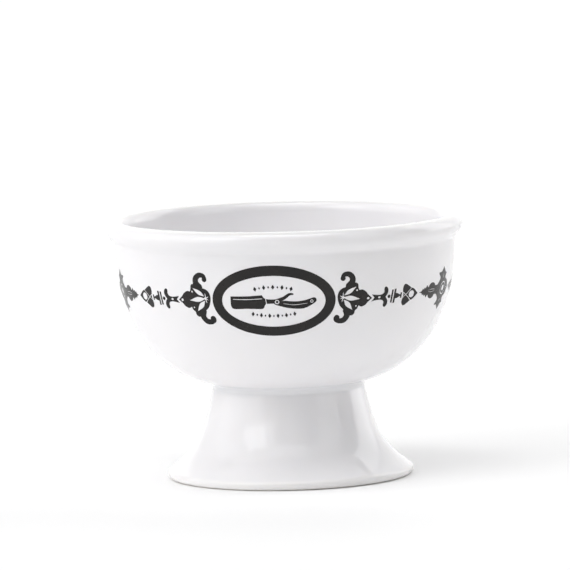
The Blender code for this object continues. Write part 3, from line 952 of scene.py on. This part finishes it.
def wrapping_recipe():
    """A flat sheet, bent round the belly. Its underside sinks into the glaze and its face stands proud."""
    inputs = dict.fromkeys(("Start", "Radius", "Turn", "Level", "Sunk", "Proud", "Ragged", "Drift"), "Float")
    graph, given = new_recipe("wrapped_on_the_belly", {"Belly": "Object", **inputs, "Finish": "Material"})
    flat = graph.node("GeometryNodeInputPosition")
    x, y, z = graph.axes(flat)
    rag_x, rag_y, _ = graph.axes(graph.noise(flat, *RAGS).output("Color"))
    x = x + (rag_x - 0.5) * given["Ragged"]
    y = y + (rag_y - 0.5) * given["Ragged"]
    angle = given["Turn"] + x / given["Radius"]
    level = given["Level"] * graph.maths("SINE", angle)
    info = graph.node("GeometryNodeObjectInfo", {"Object": given["Belly"]}).output("Geometry")
    line = graph.node("GeometryNodeMeshToCurve", {"Mesh": info})
    place = {"Curves": line, "Length": given["Start"] + y - level}
    spot = graph.node("GeometryNodeSampleCurve", place, mode="LENGTH")
    outward = graph.vectors("CROSS_PRODUCT", (0.0, 1.0, 0.0), spot.output("Tangent"))
    lift = z * (given["Sunk"] + given["Proud"]) - given["Sunk"]
    raised = graph.vectors("ADD", spot.output("Position"), graph.vectors("SCALE", outward, lift))
    to_front = {"Vector": raised, "Angle": angle - math.pi / 2}
    spun = graph.node("ShaderNodeVectorRotate", to_front, rotation_type="Z_AXIS")
    moved = {"Geometry": given["Geometry"], "Position": drifted(graph, spun, given["Drift"])}
    return end_recipe(graph, graph.node("GeometryNodeSetPosition", moved), given["Finish"])


wrapping = wrapping_recipe()
belly_guide = bpy.data.objects.new("belly_guide", seed_line("belly_guide", belly))
bpy.context.scene.collection.objects.link(belly_guide)
band_start, band_radius = along_belly(BAND_HEIGHT)
print("wrapping recipe:", len(wrapping.nodes), "nodes; band radius", round(band_radius / MM, 2), "mm")

# %% [markdown]
# The triangulation returns, for each triangle, the layers that cover it. The topmost of them says
# whether it is inked, and the inked ones become a sheet: a face, an underside, and a wall wherever an
# edge has a triangle on one side only. Cutting the sheet this way keeps it closed with no boolean.

# %% Cutting a drawing out of a flat sheet
BEND_EVERY = 1.0
SHEET_MARGIN = 0.5
SAME_CORNER = 1e-4
CREASE = math.radians(35)


def regions(drawing):
    """The inked regions of a drawing, as triangles that lines every millimetre have split."""
    points, edges, faces = [], [], []
    for line, _ in drawing:
        area = sum(a.x * b.y - b.x * a.y for a, b in zip(line, line[1:] + line[:1]))
        faces.append(list(range(len(points), len(points) + len(line))))
        points += line if area > 0 else line[::-1]
    low = [min(p[axis] for p in points) - SHEET_MARGIN for axis in (0, 1)]
    high = [max(p[axis] for p in points) + SHEET_MARGIN for axis in (0, 1)]
    for axis in (0, 1):
        for k in range(math.ceil(low[axis] / BEND_EVERY), math.floor(high[axis] / BEND_EVERY) + 1):
            ends = [Vector(low), Vector(high)]
            for end in ends:
                end[axis] = k * BEND_EVERY
            edges.append((len(points), len(points) + 1))
            points += ends
    corners, _, triangles, _, _, layers = delaunay_2d_cdt(points, edges, faces, 0, SAME_CORNER)
    return corners, [t for t, found in zip(triangles, layers) if found and drawing[max(found)][1]]


def sheet(name, drawing, side):
    """A sheet one unit thick in the shape of the drawing. side is -1 for the mirror image."""
    sided = [([Vector((side * p.x, p.y)) for p in line], ink) for line, ink in drawing]
    corners, triangles = regions(sided)
    cut = bmesh.new()
    under, over = {}, {}
    for i in sorted({i for triangle in triangles for i in triangle}):
        under[i] = cut.verts.new((corners[i].x * MM, corners[i].y * MM, 0))
        over[i] = cut.verts.new((corners[i].x * MM, corners[i].y * MM, 1))
    # A dict keeps its order, which a set would lose, so that each run makes the same mesh.
    edges = {edge: None for a, b, c in triangles for edge in ((a, b), (b, c), (c, a))}
    for a, b, c in triangles:
        cut.faces.new((over[a], over[b], over[c]))
        cut.faces.new((under[c], under[b], under[a]))
    for a, b in edges:
        if (b, a) not in edges:
            cut.faces.new((over[b], over[a], under[a], under[b]))
    mesh = bpy.data.meshes.new(name)
    cut.to_mesh(mesh)
    cut.free()
    return mesh


def printed(name, flat, turn, *before):
    """Wraps a flat sheet on the mug at an angle round it. before holds recipes that are used first."""
    values = {"Belly": belly_guide, "Start": band_start, "Radius": band_radius, "Turn": turn}
    values |= {"Level": OUT_OF_LEVEL, "Sunk": PRINT_SUNK, "Proud": PRINT_PROUD, "Ragged": RAGGED}
    values |= {"Drift": DRIFT, "Finish": enamel}
    piece = grown(name, flat, *before, (wrapping, values))
    piece.data.shade_smooth()
    piece.data.set_sharp_from_angle(angle=CREASE)
    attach(piece, "root")
    return piece


def island(node, drawing, side, turn):
    """A print that stands in for the CAD node of that name."""
    piece = printed("printed_" + node, sheet(node, drawing, side), turn)
    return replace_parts(piece, node)


print("drawings are split every", BEND_EVERY, "mm, so that they can bend")

# %% [markdown]
# Each island of ink is a piece of its own, as it is on the mug, and stands in for one CAD solid. The
# front and back faces are alike, half a turn apart, and each has its chain to the left and the right.

# %% Print the band
FACES = {"front": 0.0, "back": math.pi}
SIDES = {"left": -1, "right": 1}

prints = []
for face, turn in FACES.items():
    for drawing in (oval_frame, razor):
        prints.append(island(f"{face}_{drawing.__name__}", drawing(), 1, turn))
    for side_name, side in SIDES.items():
        for drawing in (palmette, link, baluster, spade, finial, rosette):
            prints.append(island(f"{face}_{side_name}_{drawing.__name__}", drawing(), side, turn))
for side_name, side in SIDES.items():
    prints.append(island(side_name + "_side_spindle", side_spindle(), side, 0.0))
measured(prints[0])
measured(prints[2])
print(len(prints), "prints,", sum(len(piece.data.polygons) for piece in prints), "faces in all")

# %% [markdown]
# ## Rows of lozenges
#
# Above and below the razor runs a small curved row of lozenges, large and small in turn. A row repeats
# one shape along a path, which is what instances are for: a curve, points spread along it, and a copy
# of one four-sided tile on each. The tiles come out flat and then go through the wrapping recipe too.

# %% The recipe for a row
SMALL_TILE = 0.55
TILE_NARROW = 0.62


def row_recipe():
    """Tiles along a curve, large and small in turn, one unit thick. Rise is the bow of the row."""
    inputs = {"Half width": "Float", "Height": "Float", "Rise": "Float", "Count": "Int", "Tile": "Float"}
    graph, given = new_recipe("row_of_lozenges", {**inputs, "Finish": "Material"})
    high, low = given["Height"] + given["Rise"], given["Height"] - given["Rise"]
    left = graph.node("ShaderNodeCombineXYZ", {"X": 0 - given["Half width"], "Y": low})
    middle = graph.node("ShaderNodeCombineXYZ", {"Y": high})
    right = graph.node("ShaderNodeCombineXYZ", {"X": given["Half width"], "Y": low})
    bow = {"Start": left, "Middle": middle, "End": right}
    path = graph.node("GeometryNodeCurveQuadraticBezier", bow)
    spread = graph.node("GeometryNodeResampleCurve", {"Curve": path, "Count": given["Count"]})
    tangent = graph.node("GeometryNodeInputTangent")
    facing = graph.node("FunctionNodeAlignRotationToVector", {"Vector": tangent}, axis="X")
    tile = graph.node("GeometryNodeMeshCylinder", {"Vertices": 4, "Radius": 1.0, "Depth": 1.0})
    tile = graph.node("GeometryNodeTransform", {"Geometry": tile, "Translation": (0.0, 0.0, 0.5)})
    small = graph.maths("MODULO", graph.node("GeometryNodeInputIndex"), 2.0)
    size = given["Tile"] * (1 - (1 - SMALL_TILE) * small)
    scale = graph.node("ShaderNodeCombineXYZ", {"X": size * TILE_NARROW, "Y": size, "Z": 1.0})
    copies = {"Points": spread, "Instance": tile, "Rotation": facing, "Scale": scale}
    return end_recipe(graph, graph.node("GeometryNodeInstanceOnPoints", copies), given["Finish"])


row_of_lozenges = row_recipe()
print("row recipe:", len(row_of_lozenges.nodes), "nodes")

# %% [markdown]
# A row needs no seed of its own, because its recipe makes everything from its inputs. So an empty mesh
# carries the two recipes, the row first and then the wrapping.

# %% Print the rows
TILE = 0.78 * MM
ROWS = {
    "upper_row": {"Half width": 5.4 * MM, "Height": 4.6 * MM, "Rise": 0.62 * MM, "Count": 9},
    "lower_row": {"Half width": 6.4 * MM, "Height": -4.5 * MM, "Rise": -0.62 * MM, "Count": 11},
}

for face, turn in FACES.items():
    for name, sizes in ROWS.items():
        row = (row_of_lozenges, {**sizes, "Tile": TILE, "Finish": enamel})
        prints.append(printed(f"printed_{face}_{name}", bpy.data.meshes.new(name), turn, row))
measured(prints[-1])
bpy.data.objects.remove(belly_guide)

# %% [markdown]
# ## The studio
#
# The mug stands on a sheet of white paper that fills the view. Soft light comes from large boxes, as in
# a product studio. The camera is a long lens far away, a little above the lip, and it leans slightly.

# %% Paper
PAPER_WHITE = (0.96, 0.96, 0.96, 1.0)
PAPER_FIBRE = (0.94, 0.94, 0.94, 1.0)
FIBRES, FIBRE_SHARE, FIBRE_HEIGHT = (900.0, 4.0), 0.2, 0.01 * MM
PAPER_ROUGHNESS = 0.7
PAPER_HALF = 6.0


def paper_finish():
    made, graph = new_finish("white_paper")
    fibres = graph.noise(graph.node("ShaderNodeTexCoord").output("Object"), *FIBRES)
    colour = graph.blend(fibres * FIBRE_SHARE, PAPER_WHITE, PAPER_FIBRE)
    end_finish(graph, fibres * FIBRE_HEIGHT, {"Base Color": colour, "Roughness": PAPER_ROUGHNESS})
    return made


def paper_sheet():
    mesh = bpy.data.meshes.new("paper")
    corners = [(i * PAPER_HALF, j * PAPER_HALF, 0) for i, j in ((-1, -1), (1, -1), (1, 1), (-1, 1))]
    mesh.from_pydata(corners, [], [(0, 1, 2, 3)])
    mesh.materials.append(paper_finish())
    made = bpy.data.objects.new("paper", mesh)
    bpy.context.scene.collection.objects.link(made)
    return made


paper = paper_sheet()
print("paper:", [round(side, 1) for side in paper.dimensions], "m")

# %% [markdown]
# ## Light
#
# White glazed porcelain is mostly a picture of the room round it. So the light is made as a room: a dim
# dome with large soft boxes on it, each given by the direction of its middle, its width and height in
# degrees, how soft its edge is, and its brightness. A box on the dome lights the paper evenly as far as
# the horizon, which a lamp close by can't do, and its edge shows as a crisp line in the glaze.

# %% A dome of soft boxes
DOME = 0.05
BOXES = {
    # name: (azimuth, elevation, width, height, softness, brightness)
    "key": (-47, 35, 32, 24, 2, 1.7),
    "left_high": (-71, 35, 80, 24, 6, 1.35),
    "left_low": (-73, 8, 76, 30, 8, 1.3),
    "left_edge": (-25, 35, 12, 24, 1.5, 1.3),
    "left_top": (-65, 57, 70, 20, 3, 1.2),
    "front_top": (0, 57, 60, 20, 3, 1.5),
    "right_top": (75, 57, 90, 20, 3, 0.5),
    "overhead": (0, 76, 180, 18, 3, 3.8),
    "right_tall": (63, 24, 34, 46, 1.5, 0.8),
    "right_high": (127, 35, 34, 24, 3, 1.9),
    "right_low": (127, 8, 34, 30, 6, 2.2),
    "back": (180, 24, 70, 60, 6, 1.25),
    "back_left": (232, 24, 34, 60, 6, 0.7),
}


def box_of_light(graph, azimuth, elevation, box):
    """1 inside a soft box of the dome and 0 outside it."""
    middle, height_of_middle, width, height, softness = (math.radians(degrees) for degrees in box)
    aside = graph.maths("WRAP", azimuth - middle, math.pi, -math.pi)
    above = elevation - height_of_middle
    inside = 1.0
    for offset, reach in ((aside, width / 2), (above, height / 2)):
        distance = graph.maths("ABSOLUTE", offset)
        inside = inside * (1 - graph.rise(distance, reach - softness / 2, reach + softness / 2))
    return inside


def studio_dome():
    world = bpy.data.worlds.new("studio_dome")
    world.use_nodes = True
    world.node_tree.nodes.clear()
    graph = Graph(world.node_tree)
    x, y, z = graph.axes(graph.node("ShaderNodeTexCoord").output("Generated"))
    azimuth = graph.maths("ARCTAN2", x, 0 - y)
    elevation = graph.maths("ARCSINE", z)
    light = DOME
    for *box, brightness in BOXES.values():
        light = light + brightness * box_of_light(graph, azimuth, elevation, box)
    sky = graph.node("ShaderNodeBackground", {"Color": (1.0, 1.0, 1.0, 1.0), "Strength": light})
    graph.node("ShaderNodeOutputWorld", {"Surface": sky})
    return world


bpy.context.scene.world = studio_dome()
bpy.context.scene.view_settings.view_transform = "Standard"
print("the dome has", len(BOXES), "soft boxes")

# %% [markdown]
# ## Camera
#
# A long lens from nearly two metres keeps the mug's ellipses flat. The camera's place is given as a
# direction from the mug and a distance, and the small turns after that centre the mug in the frame.

# %% Camera
LOOKED_AT = Vector((0.0, 0.0, 0.04))
CAMERA_AZIMUTH = 4.4
CAMERA_ELEVATION = 6.57
CAMERA_DISTANCE = 1.806
CAMERA_LENS = 368.65
CAMERA_LEAN = -1.49
LOOK_RIGHT = -0.0251
LOOK_UP = 0.600
CLIP_START, CLIP_END = 0.05, 50.0


def direction(azimuth, elevation):
    """From the mug towards something. Azimuth 0 is the front and 90 the right, in degrees."""
    a, e = math.radians(azimuth), math.radians(elevation)
    return Vector((math.sin(a) * math.cos(e), -math.cos(a) * math.cos(e), math.sin(e)))


def studio_camera():
    data = bpy.data.cameras.new("camera")
    data.lens = CAMERA_LENS
    data.clip_start, data.clip_end = CLIP_START, CLIP_END
    made = bpy.data.objects.new("camera", data)
    towards = direction(CAMERA_AZIMUTH, CAMERA_ELEVATION)
    made.location = LOOKED_AT + towards * CAMERA_DISTANCE
    level = towards.to_track_quat("Z", "Y")
    lean = Quaternion((0, 0, 1), math.radians(CAMERA_LEAN))
    aim = Euler((math.radians(LOOK_UP), math.radians(-LOOK_RIGHT), 0)).to_quaternion()
    made.rotation_mode = "QUATERNION"
    made.rotation_quaternion = level @ lean @ aim
    bpy.context.scene.collection.objects.link(made)
    bpy.context.scene.camera = made
    return made


camera = studio_camera()
print("camera at", [round(c, 3) for c in camera.location], "m")

# %% [markdown] ## The finished scene The mug takes its sizes from the CAD model that it stands
# for.
